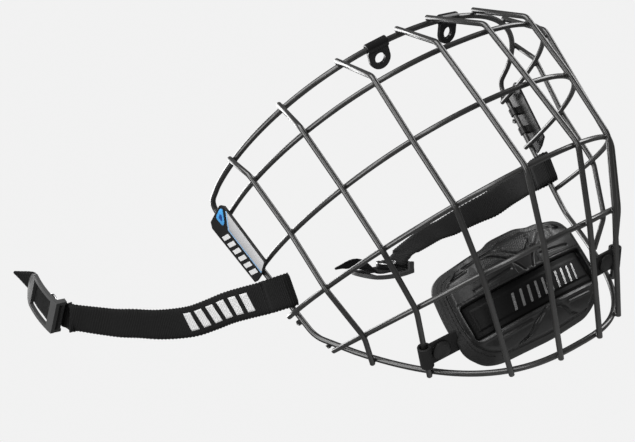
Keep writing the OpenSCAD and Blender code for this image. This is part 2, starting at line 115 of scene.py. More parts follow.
def make(name, verts, faces, material, body, node=None, slot=None, uv=None, sharp=None, colours=None):
    """A mesh piece from points in millimetres, riding on a body."""
    mesh = bpy.data.meshes.new(name)
    mesh.from_pydata([tuple(v * 0.001) for v in np.asarray(verts, float)], [], [tuple(f) for f in faces])
    mesh.update()
    mesh.shade_smooth()
    if sharp:
        mesh.set_sharp_from_angle(angle=math.radians(sharp))
    if uv is not None:
        layer = mesh.uv_layers.new(name="UVMap")
        index = np.zeros(len(mesh.loops), int)
        mesh.loops.foreach_get("vertex_index", index)
        layer.data.foreach_set("uv", np.asarray(uv, float)[index].ravel())
    if colours is not None:
        layer = mesh.color_attributes.new(name="look", type="FLOAT_COLOR", domain="POINT")
        layer.data.foreach_set("color", np.asarray(colours, float).ravel())
    mesh.materials.append(material)
    piece = bpy.data.objects.new(name, mesh)
    bpy.context.scene.collection.objects.link(piece)
    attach(piece, body)
    if node:
        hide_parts(node)
    return piece


def grid_faces(rows, cols, close_rows=False, close_cols=False, start=0):
    """Quads between `rows` rings of `cols` points."""
    out = []
    for i in range(rows if close_rows else rows - 1):
        for k in range(cols if close_cols else cols - 1):
            a, b = start + i * cols, start + ((i + 1) % rows) * cols
            m = (k + 1) % cols
            out.append((a + k, a + m, b + m, b + k))
    return out


def join(parts):
    """Several (verts, faces) as one."""
    verts, faces, at = [], [], 0
    for v, f in parts:
        verts.append(np.asarray(v, float))
        faces += [tuple(i + at for i in face) for face in f]
        at += len(v)
    return np.vstack(verts), faces


def spline(points, per):
    """A Catmull-Rom curve through the points, with `per` steps from each to the next."""
    p = np.asarray(points, float)
    p = np.vstack([2 * p[0] - p[1], p, 2 * p[-1] - p[-2]])
    out = []
    for i in range(1, len(p) - 2):
        for s in range(per):
            t = s / per
            out.append(0.5 * (
                2 * p[i] + (p[i + 1] - p[i - 1]) * t
                + (2 * p[i - 1] - 5 * p[i] + 4 * p[i + 1] - p[i + 2]) * t ** 2
                + (3 * p[i] - p[i - 1] - 3 * p[i + 1] + p[i + 2]) * t ** 3
            ))
    out.append(p[-2])
    return np.array(out)


def arc_lengths(path):
    """How far along the path each of its points is."""
    return np.concatenate([[0], np.cumsum(np.linalg.norm(np.diff(path, axis=0), axis=1))])


def resample(path, step, *more):
    """The path at even steps, with any other values carried along."""
    s = arc_lengths(path)
    n = max(2, int(round(s[-1] / step)) + 1)
    at = np.linspace(0, s[-1], n)
    out = [np.stack([np.interp(at, s, np.asarray(a, float)[:, k]) for k in range(np.asarray(a).shape[1])], 1)
           for a in (path, *more)]
    return (at, *out)


def tangents(path, closed=False):
    if closed:
        t = np.roll(path, -1, 0) - np.roll(path, 1, 0)
    else:
        t = np.gradient(path, axis=0)
    return t / np.linalg.norm(t, axis=1)[:, None]


def tube(path, r, closed=False, sides=20):
    """A round wire with slightly domed ends."""
    path = np.asarray(path, float)
    t = tangents(path, closed)
    radii = np.full(len(path), float(r))
    if not closed:
        # how far in each ring of the dome stands, and how wide it is
        inset, swell = np.array([0.0, 0.12, 0.3]) * r, np.array([0.55, 0.86, 1.0]) * r
        head = path[0] + inset[:, None] * t[0]
        tail = path[-1] - inset[::-1, None] * t[-1]
        path = np.vstack([head, path[1:-1], tail])
        t = np.vstack([[t[0]] * 3, t[1:-1], [t[-1]] * 3])
        radii = np.concatenate([swell, np.full(len(path) - 6, r), swell[::-1]])
    rings = []
    angle = np.arange(sides) * 2 * math.pi / sides
    for p, d, q in zip(path, t, radii):
        u = square_off(p - HEAD, d)
        v = np.cross(d, u)
        rings.append(p + q * (np.cos(angle)[:, None] * u + np.sin(angle)[:, None] * v))
    n = len(path)
    faces = grid_faces(n, sides, close_rows=closed, close_cols=True)
    if not closed:
        faces += [tuple(range(sides)), tuple(range(n * sides - 1, (n - 1) * sides - 1, -1))]
    return np.vstack(rings), faces


def eased(path, ease, steps=6):
    """The path with each corner rounded, beginning its own distance before the corner."""
    out = [path[0]]
    for i in range(1, len(path) - 1):
        p = path[i]
        a = p + unit(path[i - 1] - p) * ease[i]
        b = p + unit(path[i + 1] - p) * ease[i]
        for s in range(steps + 1):
            t = s / steps
            out.append((1 - t) ** 2 * a + 2 * t * (1 - t) * p + t * t * b)
    out.append(path[-1])
    return np.array(out)


# ---- materials ----

def material(name, **sockets):
    """A node material; `sockets` are constants on the shader itself, with _ for a space."""
    m = bpy.data.materials.new(name)
    m.use_nodes = True
    shader = m.node_tree.nodes["Principled BSDF"]
    for key, value in sockets.items():
        shader.inputs[key.replace("_", " ")].default_value = value
    return m, m.node_tree, shader


def add(tree, kind, **settings):
    """A new node, with each setting put on the input of that name or else on the node."""
    node = tree.nodes.new(kind)
    for key, value in settings.items():
        if key in node.inputs:
            node.inputs[key].default_value = value
        else:
            setattr(node, key, value)
    return node


def object_coords(tree):
    return add(tree, "ShaderNodeTexCoord").outputs["Object"]


def noise(tree, coords, scale, detail):
    n = add(tree, "ShaderNodeTexNoise", Scale=scale, Detail=detail, Roughness=0.5)
    tree.links.new(coords, n.inputs["Vector"])
    return n.outputs["Fac"]


def ramp(tree, fac, stops, colour=False):
    node = add(tree, "ShaderNodeValToRGB")
    elements = node.color_ramp.elements
    while len(elements) < len(stops):
        elements.new(0.5)
    for e, (pos, value) in zip(elements, stops):
        e.position = pos
        e.color = value if colour else (value, value, value, 1)
    tree.links.new(fac, node.inputs["Fac"])
    return node.outputs["Color"]


def math_node(tree, operation, a, b):
    node = add(tree, "ShaderNodeMath", operation=operation)
    for i, value in enumerate([a, b]):
        if isinstance(value, (int, float)):
            node.inputs[i].default_value = value
        else:
            tree.links.new(value, node.inputs[i])
    return node.outputs[0]


def feed(tree, shader, socket, fac, stops, colour=False):
    """Drive a shader socket by a ramp over `fac`."""
    tree.links.new(ramp(tree, fac, stops, colour), shader.inputs[socket])


def bump(tree, shader, height, strength, distance):
    node = add(tree, "ShaderNodeBump", Strength=strength, Distance=distance)
    tree.links.new(height, node.inputs["Height"])
    tree.links.new(node.outputs["Normal"], shader.inputs["Normal"])


def grey(v, tint=(1, 1, 1)):
    return (v * tint[0], v * tint[1], v * tint[2], 1)


def wire_material():
    """Dark coated steel, very slightly warm."""
    warm = (1, 0.99, 0.97)
    m, tree, shader = material("wire_coating", Metallic=0.4, IOR=1.5, Coat_Weight=1.0, Coat_Roughness=0.2)
    c = object_coords(tree)
    feed(tree, shader, "Base Color", noise(tree, c, 45, 4),
         [(0.3, grey(0.03, warm)), (0.7, grey(0.05, warm))], True)
    feed(tree, shader, "Roughness", noise(tree, c, 260, 5), [(0.3, 0.32), (0.7, 0.42)])
    bump(tree, shader, noise(tree, c, 900, 2), 0.06, 0.0002)
    return m


SCUFF = 30.0


def plastic(name, low, high, rough_low, rough_high, specular, grain=2500.0, strength=0.12):
    """Moulded plastic: two close tones, a fine grain and faint scuffs."""
    m, tree, shader = material(name, Specular_IOR_Level=specular)
    c = object_coords(tree)
    feed(tree, shader, "Base Color", noise(tree, c, SCUFF, 5), [(0.35, grey(low)), (0.7, grey(high))], True)
    feed(tree, shader, "Roughness", noise(tree, c, SCUFF * 4, 6), [(0.3, rough_low), (0.75, rough_high)])
    bump(tree, shader, noise(tree, c, grain, 2), strength, 0.0002)
    return m


def webbing_material(name, tone=0.012, pale=False):
    """Woven ribbon: yarns across and along, in the ribbon's own length and width."""
    m, tree, shader = material(name, Specular_IOR_Level=0.16, Sheen_Weight=0.04, Sheen_Roughness=0.5)
    uv = add(tree, "ShaderNodeUVMap", uv_map="UVMap").outputs["UV"]
    waves = []
    for direction, scale in (("X", 2.65), ("Y", 3.9)):
        wave = add(tree, "ShaderNodeTexWave", wave_type="BANDS", bands_direction=direction, Scale=scale,
                   Distortion=0.6, Detail=1.0)
        tree.links.new(uv, wave.inputs["Vector"])
        waves.append(wave.outputs["Fac"])
    weave = math_node(tree, "MULTIPLY", waves[0], math_node(tree, "ADD", waves[1], 0.6))
    fuzz = noise(tree, object_coords(tree), 1800, 3)
    height = math_node(tree, "ADD", weave, math_node(tree, "MULTIPLY", fuzz, 0.5))
    if pale:
        stops = [(0.1, grey(0.5)), (0.9, grey(0.84))]
    else:
        stops = [(0.1, grey(tone * 0.3)), (0.75, grey(tone * 0.7)), (1.0, grey(tone * 1.6))]
    feed(tree, shader, "Base Color", math_node(tree, "MULTIPLY", height, 0.6), stops, True)
    feed(tree, shader, "Roughness", fuzz, [(0.3, 0.7), (0.8, 0.95)])
    bump(tree, shader, height, 0.35, 0.0003)
    return m


def cup_material():
    """Satin moulded skin; the mesh says where it is dotted, bound with cloth, or glossy with a painted
    highlight, where the base colour is lifted to a lighter grey.
    """
    m, tree, shader = material("cup_skin", Specular_IOR_Level=0.6)
    look = add(tree, "ShaderNodeAttribute", attribute_name="look")
    split = add(tree, "ShaderNodeSeparateColor")
    tree.links.new(look.outputs["Color"], split.inputs["Color"])
    dotted, glossy_and_painted_highlight, cloth = split.outputs
    c = object_coords(tree)
    cells = add(tree, "ShaderNodeTexVoronoi", Scale=1150.0, feature="F1", Randomness=0.0)
    turn = add(tree, "ShaderNodeMapping", Rotation=(0.0, 0.62, 0.3))
    tree.links.new(c, turn.inputs["Vector"])
    tree.links.new(turn.outputs["Vector"], cells.inputs["Vector"])
    fine = noise(tree, c, 2200, 3)
    base = ramp(tree, noise(tree, c, 60, 5), [(0.3, grey(0.009)), (0.7, grey(0.016))], True)
    # painted highlight: over the glossy area the base colour is mixed up to a lighter grey, and the area is
    # also made smoother
    painted_highlight_tone = add(tree, "ShaderNodeMix", data_type="RGBA")
    tree.links.new(glossy_and_painted_highlight, painted_highlight_tone.inputs["Factor"])
    tree.links.new(base, painted_highlight_tone.inputs["A"])
    painted_highlight_tone.inputs["B"].default_value = grey(0.085)
    tree.links.new(painted_highlight_tone.outputs["Result"], shader.inputs["Base Color"])
    satin = ramp(tree, noise(tree, c, 140, 5), [(0.3, 0.3), (0.75, 0.42)])
    rough = math_node(tree, "ADD", satin, math_node(tree, "MULTIPLY", cloth, 0.4))
    tree.links.new(math_node(tree, "SUBTRACT", rough, math_node(tree, "MULTIPLY", glossy_and_painted_highlight, 0.12)),
                   shader.inputs["Roughness"])
    dots = math_node(tree, "MULTIPLY", cells.outputs["Distance"], math_node(tree, "MULTIPLY", dotted, 1.6))
    weave = math_node(tree, "MULTIPLY", noise(tree, c, 1500, 1), math_node(tree, "MULTIPLY", cloth, 1.5))
    pattern = math_node(tree, "ADD", dots, weave)
    height = math_node(tree, "ADD", pattern, math_node(tree, "MULTIPLY", fine, 0.25))
    bump(tree, shader, height, 0.45, 0.0004)
    return m


def metal(name, tone, rough):
    """Bright metal with faintly uneven polish."""
    m, tree, shader = material(name, Metallic=1.0)
    c = object_coords(tree)
    feed(tree, shader, "Base Color", noise(tree, c, 120, 4),
         [(0.3, grey(tone * 0.9)), (0.7, grey(tone))], True)
    feed(tree, shader, "Roughness", noise(tree, c, 500, 4), [(0.3, rough * 0.8), (0.7, rough * 1.25)])
    return m


def printed(name, colour, rough=0.35):
    """A printed or inlaid patch, a little mottled."""
    m, tree, shader = material(name)
    c = object_coords(tree)
    darker = tuple(v * 0.9 for v in colour[:3]) + (1,)
    feed(tree, shader, "Base Color", noise(tree, c, 90, 4), [(0.3, darker), (0.7, colour)], True)
    feed(tree, shader, "Roughness", noise(tree, c, 300, 4), [(0.3, rough * 0.85), (0.7, rough * 1.2)])
    return m


def foam_material():
    """Brushed knit over foam, with small vent holes."""
    m, tree, shader = material("liner_knit", Sheen_Weight=0.25, Specular_IOR_Level=0.2)
    c = object_coords(tree)
    cells = add(tree, "ShaderNodeTexVoronoi", Scale=260.0, feature="F1", Randomness=0.0)
    tree.links.new(c, cells.inputs["Vector"])
    holes = ramp(tree, cells.outputs["Distance"], [(0.16, 0.0), (0.26, 1.0)])
    knit = noise(tree, c, 1600, 3)
    feed(tree, shader, "Base Color", math_node(tree, "MULTIPLY", holes, knit),
         [(0.05, grey(0.004)), (0.6, grey(0.03))], True)
    feed(tree, shader, "Roughness", knit, [(0.3, 0.8), (0.7, 0.98)])
    bump(tree, shader, math_node(tree, "ADD", holes, math_node(tree, "MULTIPLY", knit, 0.4)), 0.4, 0.0004)
    return m


COATED = wire_material()
EYELET = plastic("eyelet_plastic", 0.006, 0.011, 0.18, 0.32, specular=0.55)
PLATE = plastic("plate_plastic", 0.008, 0.014, 0.28, 0.42, specular=0.45)
BUCKLE = plastic("buckle_plastic", 0.06, 0.085, 0.46, 0.6, grain=3000, strength=0.06, specular=0.35)
TAB = plastic("tab_rubber", 0.009, 0.016, 0.42, 0.6, specular=0.35)
CAP = plastic("cap_plastic", 0.012, 0.02, 0.34, 0.46, specular=0.5)
BAND = plastic("band_gloss", 0.002, 0.004, 0.38, 0.46, grain=600, strength=0.02, specular=0.16)
WEBBING = webbing_material("webbing")
TAIL = webbing_material("tail_webbing", 0.014)
THREAD = plastic("thread", 0.015, 0.03, 0.6, 0.8, grain=4000, strength=0.4, specular=0.25)
MARK = webbing_material("printed_mark", pale=True)
WHITE = printed("white_print", (0.82, 0.82, 0.82, 1))
PALE = printed("pale_panel", (0.56, 0.56, 0.57, 1), 0.4)
LINE = printed("blue_line", (0.33, 0.55, 0.82, 1))
PATCH = printed("blue_patch", (0.09, 0.42, 0.88, 1), 0.3)
INK = printed("blue_ink", (0.015, 0.06, 0.28, 1))
SILVER = metal("silver_foil", 0.72, 0.24)
RING = metal("snap_ring", 0.8, 0.2)
CUP = cup_material()
FOAM = foam_material()


# ---- wires ----

def row_point(row, turn):
    """A point of a cross wire, `turn` degrees round from its middle."""
    e = 2 / ROW_SQUARE[row]
    s, c = math.sin(math.radians(turn)), math.cos(math.radians(turn))
    x = ROW_HALF[row] * math.copysign(abs(s) ** e, s)
    back = 1 - max(c, 0) ** e
    return vec(x, -ROW_FRONT[row] + (ROW_BACK + ROW_FRONT[row]) * back, -ROW_DROP[row] + ROW_RISE[row] * back)


def row_path(row):
    """A cross wire from end to end, with its short straight ends."""
    last = row_point(row, ROW_END[row])
    past = last + unit(last - row_point(row, ROW_END[row] - 2)) * max(ROW_TAIL[row], 0.5)
    turns = [ROW_END[row] * k / 42 for k in range(-42, 43)]
    return np.vstack([flip(past)] + [row_point(row, t) for t in turns] + [past])


def brow_point(x):
    back = 1 - math.sqrt(max(0, 1 - (x / BROW_HALF) ** 2))
    return vec(x, BROW_DEPTH * back, -BROW_FALL * back)


def chin_point(x):
    s = abs(x) / CHIN_HALF
    return vec(x, CHIN_SETBACK + CHIN_DEPTH * s ** 2.1, -CHIN_DROP + CHIN_RISE * s ** 2.8)


BROW_CORNER, CHIN_CORNER = brow_point(BROW_HALF), chin_point(CHIN_HALF)


def edge_path():
    """The edge wire: the brow's and the chin's curves, joined by straight sides with rounded corners."""
    brow = [brow_point(BROW_HALF * math.sin(math.radians(t))) for t in np.arange(-80, 80.1, 2)]
    chin = [chin_point(CHIN_HALF * 0.9 * k / 36) for k in range(36, -37, -1)]

    def turn(a, p, b, ease):
        return list(eased([a, p, b], [0, ease, 0], 8)[1:-1])

    return np.vstack(
        brow
        + turn(brow[-1], BROW_CORNER, CHIN_CORNER, 8) + turn(BROW_CORNER, CHIN_CORNER, chin[0], 6)
        + chin
        + turn(flip(chin[0]), flip(CHIN_CORNER), flip(BROW_CORNER), 6)
        + turn(flip(CHIN_CORNER), flip(BROW_CORNER), brow[0], 8)
    )


def turn_at(row, x):
    """The turn at which a cross wire reaches x."""
    return math.degrees(math.asin((x / ROW_HALF[row]) ** (ROW_SQUARE[row] / 2)))


def upright_marks(k):
    """The upright's own points at each wire it crosses, and the welds there."""
    crossings = [row_point(r, turn_at(r, SPACING[k][r])) for r in range(4)]
    p = [brow_point(TOP_X[k])] + crossings + [chin_point(CHIN_X[k])]
    a = [unit(brow_point(TOP_X[k] + 1) - brow_point(TOP_X[k] - 1))]
    for r in range(4):
        t = turn_at(r, SPACING[k][r])
        a.append(unit(row_point(r, t + 0.5) - row_point(r, t - 0.5)))
    a.append(unit(chin_point(CHIN_X[k] + 1) - chin_point(CHIN_X[k] - 1)))
    d = [unit(p[1] - p[0]), unit(p[2] - p[1]), unit(p[3] - p[1]),
         unit(unit(p[3] - p[2]) + unit(p[4] - p[3])), unit(p[5] - p[3]), unit(p[5] - p[4])]
    marks, welds = [], []
    for i in range(6):
        n = unit(np.cross(a[i], d[i]))
        out = n if n @ (p[i] - HEAD) > 0 else -n
        other = EDGE_R if i in (0, 5) else CROSS_R
        marks.append(p[i] + out * (UPRIGHT_R + other - WELD))
        welds.append((p[i] + out * (other - WELD / 2), a[i], d[i], out))
    return marks, welds


def upright_path(k):
    """An upright from its tip over the brow to its tip under the chin."""
    m, _ = upright_marks(k)
    bend = m[1] + unit(m[1] - m[2]) * BROW_BEND
    top = m[0] + unit(m[0] - bend) * TIP_PAST
    foot = m[5] + unit(m[5] - m[4]) * TIP_PAST
    return eased([top, bend, m[1], m[2], m[3], m[4], foot], [0, 2.5, 0.4, 4, 4, 4, 0])


def bead(at, a, d, out):
    """A small fused saddle between two crossing wires."""
    verts, faces = [], []
    rings, seg = 7, 16
    for i in range(rings):
        lift = -1 + 2 * i / (rings - 1)
        waist = 0.72 + 0.28 * lift * lift
        level = math.sqrt(max(0.02, 1 - (lift * 0.92) ** 2))
        for k in range(seg):
            t = 2 * math.pi * k / seg
            wide = 1.9 + 0.35 * math.cos(4 * t)
            r = wide * (0.45 + 0.55 * level) * waist
            verts.append(at + a * math.cos(t) * r + d * math.sin(t) * r + out * lift * 1.05)
    faces = grid_faces(rings, seg, close_cols=True)
    faces += [tuple(range(seg)), tuple(range(rings * seg - 1, (rings - 1) * seg - 1, -1))]
    return verts, faces


edge = edge_path()
make("edge_tube", *tube(edge, EDGE_R, closed=True, sides=24), COATED, "cage", "edge_wire", "wire")
beads = []
for row, node in enumerate(["cross_brow", "cross_eye", "cross_nose", "cross_mouth"]):
    path = row_path(row)
    make(node + "_tube", *tube(path, CROSS_R), COATED, "cage", node, "wire")
    for end, inner in ((path[0], path[2]), (path[-1], path[-3])):
        nearest = np.argmin(np.linalg.norm(edge - end, axis=1))
        near = edge[nearest]
        d = unit(edge[(nearest + 2) % len(edge)] - near)
        a = square_off(inner - end, d)
        beads.append(bead((near + end) / 2, a, d, np.cross(a, d)))
for k in range(4):
    path = upright_path(k)
    for node, route in ((f"upright_{5 + k}", path), (f"upright_{4 - k}", flip(path))):
        make(node + "_tube", *tube(route, UPRIGHT_R), COATED, "cage", node, "wire")
    for at, a, d, out in upright_marks(k)[1]:
        beads.append(bead(at, a, d, out))
        beads.append(bead(flip(at), flip(a), flip(d), flip(out)))
make("weld_beads", *join(beads), COATED, "cage", slot="wire")


# ---- CAD parts that keep their shape, with softened edges ----

def soften(node, mat, width, segments):
    """Smooth shading, rounded edges and a material for a CAD part."""
    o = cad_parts[node]
    if "custom_normal" in o.data.attributes:
        o.data.attributes.remove(o.data.attributes["custom_normal"])
    o.data.shade_smooth()
    o.data.materials.clear()
    o.data.materials.append(mat)
    weld = o.modifiers.new("weld", "WELD")
    weld.merge_threshold = 0.00001
    bevel = o.modifiers.new("edges", "BEVEL")
    bevel.width = width * 0.001
    bevel.segments = segments
    bevel.limit_method = "ANGLE"
    bevel.angle_limit = math.radians(38)
    bevel.use_clamp_overlap = True
    bevel.harden_normals = True


for s in ("right", "left"):
    soften("eyelet_" + s, EYELET, 0.3, 3)
    soften("side_plate_" + s, PLATE, 0.3, 3)
    soften("buckle_" + s, BUCKLE, 0.35, 3)
    soften("cup_tab_" + s, TAB, 0.3, 2)
    soften("snap_cap_" + s, CAP, 0.25, 2)
    soften("snap_stud_" + s, CAP, 0.15, 2)


# ---- side plates' panels ----

SIDE_TOP = flip(BROW_CORNER)
SIDE_ALONG = unit(flip(CHIN_CORNER) - SIDE_TOP)
PLATE_BACK = square_off([-0.2, 1, 0], SIDE_ALONG)
PLATE_OUT = np.cross(PLATE_BACK, SIDE_ALONG)
PLATE_FACE = EDGE_R + GAP + STRAP_T + GAP + 1.4


def rounded(points, r, steps=3):
    """A closed outline with small rounded corners."""
    p = [vec(*q) for q in points]
    out = []
    for i in range(len(p)):
        a, b, c = p[i - 1], p[i], p[(i + 1) % len(p)]
        q = min(r, np.linalg.norm(a - b) / 2.2, np.linalg.norm(c - b) / 2.2)
        u, v = b + unit(a - b) * q, b + unit(c - b) * q
        for s in range(steps + 1):
            t = s / steps
            out.append((1 - t) ** 2 * u + 2 * t * (1 - t) * b + t * t * v)
    return out


def inlay(name, outline, low, high, mat, side, r=0.6):
    """A thin raised panel on a side plate's outer face."""
    ring = rounded(outline, r)
    n = len(ring)
    middle = sum(ring) / n
    verts = []
    for shrink, level in ((1, low), (1, high - 0.05), (0.985, high)):
        for q in ring:
            q = middle + (q - middle) * shrink
            p = SIDE_TOP - PLATE_BACK * q[0] + SIDE_ALONG * q[1] + PLATE_OUT * (PLATE_FACE + level)
            verts.append(p if side == "right" else flip(p))
    faces = grid_faces(3, n, close_cols=True)
    faces.append(tuple(range(2 * n, 3 * n)))
    faces.append(tuple(range(n - 1, -1, -1)))
    return make(f"{name}_{side}", verts, faces, mat, "cage", slot="plate", sharp=40)


for s in ("right", "left"):
    inlay("plate_panel", [(14.6, 13.6), (5.9, 20.7), (5.4, 50.3), (12.9, 48.5)], -0.1, 0.22, PALE, s)
    inlay("plate_line", [(14.6, 12.4), (5.0, 20.0), (4.5, 50.7), (5.25, 50.6), (5.75, 20.5), (14.7, 13.5)],
          -0.1, 0.26, LINE, s, 0.2)
    inlay("plate_patch", [(11.6, 8.7), (13.4, 10.1), (6.6, 15.8), (3.4, 16.0), (3.0, 9.9), (5.4, 9.1)],
          -0.1, 0.24, PATCH, s, 1.4)
    inlay("plate_patch_ink", [(8.6, 10.5), (9.2, 11.8), (6.4, 13.9), (5.2, 13.4), (5.6, 11.0)],
          0.2, 0.32, INK, s, 0.4)
    for i in range(6):
        d = 19 + i * 5.0
        inlay(f"plate_bar_{i + 1}", [(-4.3, d), (-4.3, d + 2.8), (2.4, d + 4.8), (2.4, d + 2.0)],
              -0.1, 0.2, WHITE, s, 0.35)


# ---- straps ----

STRAP_HINGE = SIDE_TOP + SIDE_ALONG * STRAP_DOWN
BAR_R = 1.5
BAR_TURN = BAR_R + GAP + STRAP_T / 2
ACROSS = EDGE_R + GAP + STRAP_T / 2
SEAM = STRAP_T / 2 + 0.1
LOOP = [(12, -SEAM), (9, -SEAM - 0.2), (5, -ACROSS), (-5, -ACROSS), (-7.3, -ACROSS * 0.65), (-8.2, 0),
        (-7.3, ACROSS * 0.65), (-5, ACROSS), (5, ACROSS), (9, SEAM + 0.2), (12, SEAM)]
# Each strap: where and how it leaves the side wire, the points it follows and the buckle's bar at its end.
STRAPS = {
    "right": dict(
        hinge=STRAP_HINGE, start=unit([-0.55, 0.8, 0.24]), up=-SIDE_ALONG,
        route=[(-117, 129, -72), (-125, 142, -69), (-133, 153, -66), (-141, 163, -61), (-149, 172, -55),
               (-157, 180, -48), (-164.5, 188.5, -41.5), (-171.5, 196, -34.5), (-177.5, 202, -28.5),
               (-183.5, 207.5, -22.5)],
        bar_at=vec(-188.8, 212.1, -17.3), bar=unit([0.306, -0.834, 0.46]),
        along=unit([-0.018, 0.478, 0.878]), inner=vec(1, 0, 0)),
    "left": dict(
        hinge=flip(STRAP_HINGE), start=unit([-0.1, 0.97, 0.08]), up=-flip(SIDE_ALONG),
        route=[(97, 122, -79), (98, 145, -77), (93, 161, -77), (84, 169, -76), (72, 172, -76), (59, 171, -77),
               (45, 168, -77), (31, 164, -79), (19, 160, -81)],
        bar_at=vec(10, 160, -86), bar=unit([-0.05, 0.85, 0.52]), along=unit([-0.957, -0.192, 0.219]),
        inner=vec(0.26, -0.53, 0.8)),
}


def fold_points(s):
    """The folded end round the side wire, and the direction of its edge."""
    up = square_off(s["up"], s["start"])
    across = np.cross(up, s["start"])
    return [s["hinge"] + s["start"] * p[0] + across * p[1] for p in LOOP], up


def strap_line(s):
    """The middle of the webbing and the direction of its edge, as in the frame."""
    folded, up = fold_points(s)
    e = square_off(vec(s["route"][-1]) - s["bar_at"], s["bar"])
    side = np.cross(s["bar"], e)
    m = side if side @ s["inner"] > 0 else -side
    turned = [s["bar_at"] + m * BAR_TURN + e * 5]
    turned += [s["bar_at"] + (e * math.cos(math.radians(a)) + m * math.sin(math.radians(a))) * BAR_TURN
               for a in range(90, 298, 23)]
    path = folded + [vec(p) for p in s["route"]] + turned
    ups = [up] * len(folded)
    for i in range(1, len(s["route"]) + 1):
        w = i / (len(s["route"]) + 1)
        ups.append(up * (1 - w) + s["bar"] * w)
    ups += [s["bar"]] * len(turned)
    return spline(path, 8), spline(ups, 8)


RIB_PITCH, EDGE_PITCH, RIBBON_STEP = 1.25, 2.4, 0.32
SEAM_ROWS, SEAM_SIDE, SEAM_LIFT, PRINT_LIFT = (-3.6, -1.2), 8.4, 0.12, 0.09


def ribbon(path, ups, widths, rib=0.07, edge_wave=0.2):
    """Webbing with a rounded, slightly scalloped edge and cross ribs; widths has one for each point."""
    at, p, u, w = resample(path, RIBBON_STEP, ups, np.asarray(widths, float)[:, None])
    d = tangents(p)
    half = np.linspace(-1, 1, 9)
    section = [(a, 1) for a in half] + [(-a, -1) for a in half]
    rings, uvs = [], []
    phase = np.cos(2 * np.pi * at / RIB_PITCH)
    for i in range(len(p)):
        e = square_off(u[i], d[i])
        n = unit(np.cross(d[i], e))
        hw = w[i, 0] / 2 + edge_wave * (math.cos(2 * math.pi * at[i] / EDGE_PITCH) - 1)
        ring = []
        for a, face in section:
            near = min(1.0, (1 - abs(a)) * hw / 0.5 + 0.35)
            lift = face * (STRAP_T / 2 * near + rib * phase[i] * near - rib * 0.5)
            ring.append(p[i] + e * a * hw + n * lift)
            uvs.append((at[i] * 0.1, a * hw * 0.1 + (0 if face > 0 else 5)))
        rings.append(ring)
    cols = len(section)
    verts = np.array(rings).reshape(-1, 3)
    faces = grid_faces(len(p), cols, close_cols=True)
    faces += [tuple(range(cols)), tuple(range(len(verts) - 1, len(verts) - 1 - cols, -1))]
    return verts, faces, uvs


def on_ribbon(path, ups, at, across, lift):
    """A point on the ribbon's face, `at` along it, and the directions along, across and out of it."""
    s = arc_lengths(path)

    def value(table, where):
        return np.array([np.interp(where, s, table[:, k]) for k in range(3)])

    d = unit(value(path, at + 0.4) - value(path, at - 0.4))
    e = square_off(value(ups, at), d)
    n = unit(np.cross(d, e))
    return value(path, at) + e * across + n * lift, d, e, n


def stitch(at, d, n, length=1.7, r=0.17):
    """One short thread pressed into the webbing."""
    side = np.cross(d, n)
    verts = []
    for f, g in ((-1, 0.25), (-0.75, 0.85), (0, 1.0), (0.75, 0.85), (1, 0.25)):
        for k in range(6):
            a = 2 * math.pi * k / 6
            verts.append(at + d * f * length / 2 + (side * math.cos(a) + n * math.sin(a)) * r * g
                         + n * r * 0.6 * (g - 0.4))
    faces = grid_faces(5, 6, close_cols=True) + [tuple(range(6)), tuple(range(29, 23, -1))]
    return verts, faces


BAR_FIRST, BAR_PITCH, BAR_WIDE, BAR_LEAN, BAR_HIGH = 7.5, 8.8, 5.4, 2.6, 11.2


def print_bars(name, path, ups, start, lift):
    """Six plain slanted bars printed on the webbing."""
    parts, uv = [], []
    cols, rows = 12, 10
    for bar in range(6):
        verts = []
        for i in range(rows + 1):
            c = BAR_HIGH * (i / rows - 0.5)
            for j in range(cols + 1):
                at = start + BAR_FIRST + bar * BAR_PITCH + BAR_WIDE * j / cols + BAR_LEAN * i / rows
                verts.append(on_ribbon(path, ups, at, c, lift)[0])
                uv.append((at * 0.1, c * 0.1))
        parts.append((verts, grid_faces(rows + 1, cols + 1)))
    piece = make("strap_mark_" + name, *join(parts), MARK, "strap_" + name, slot="webbing", uv=uv)
    solid = piece.modifiers.new("print", "SOLIDIFY")
    solid.thickness = 0.00012
    solid.offset = 0


for name, s in STRAPS.items():
    path, ups = strap_line(s)
    verts, faces, uv = ribbon(path, ups, np.full(len(path), STRAP_W))
    make("webbing_" + name, verts, faces, WEBBING, "strap_" + name, "strap_" + name, "webbing", uv=uv)
    # where the folded end is sewn down
    start = arc_lengths(spline(fold_points(s)[0], 8))[-1]
    threads = []
    for face in (1, -1):
        lift = face * (STRAP_T / 2 + SEAM_LIFT)
        for off in SEAM_ROWS:
            for k in range(9):
                q, _, e, n = on_ribbon(path, ups, start + off, -8 + k * 2.0, lift)
                threads.append(stitch(q, e, n * face))
        for c in (-SEAM_SIDE, SEAM_SIDE):
            q, d, _, n = on_ribbon(path, ups, start + sum(SEAM_ROWS) / 2, c, lift)
            threads.append(stitch(q, d, n * face, 2.4))
    make("seam_" + name, *join(threads), THREAD, "strap_" + name, slot="webbing")
    n = on_ribbon(path, ups, start + 50, 0, 0)[3]
    outward = 1 if n @ s["inner"] < 0 else -1
    print_bars(name, path, ups, start, outward * (STRAP_T / 2 + PRINT_LIFT))


# ---- buckle tails and press studs ----

# How far from the bar the frame's arc is highest, its height above the bar and its centre's depth below it.
MID = BUCKLE_L / 2 - BAR_R
FRAME_OFF = BAR_R + GAP * 2 + STRAP_T + BUCKLE_T / 2
SINK = math.sqrt(FRAME_R ** 2 - MID ** 2) - FRAME_OFF
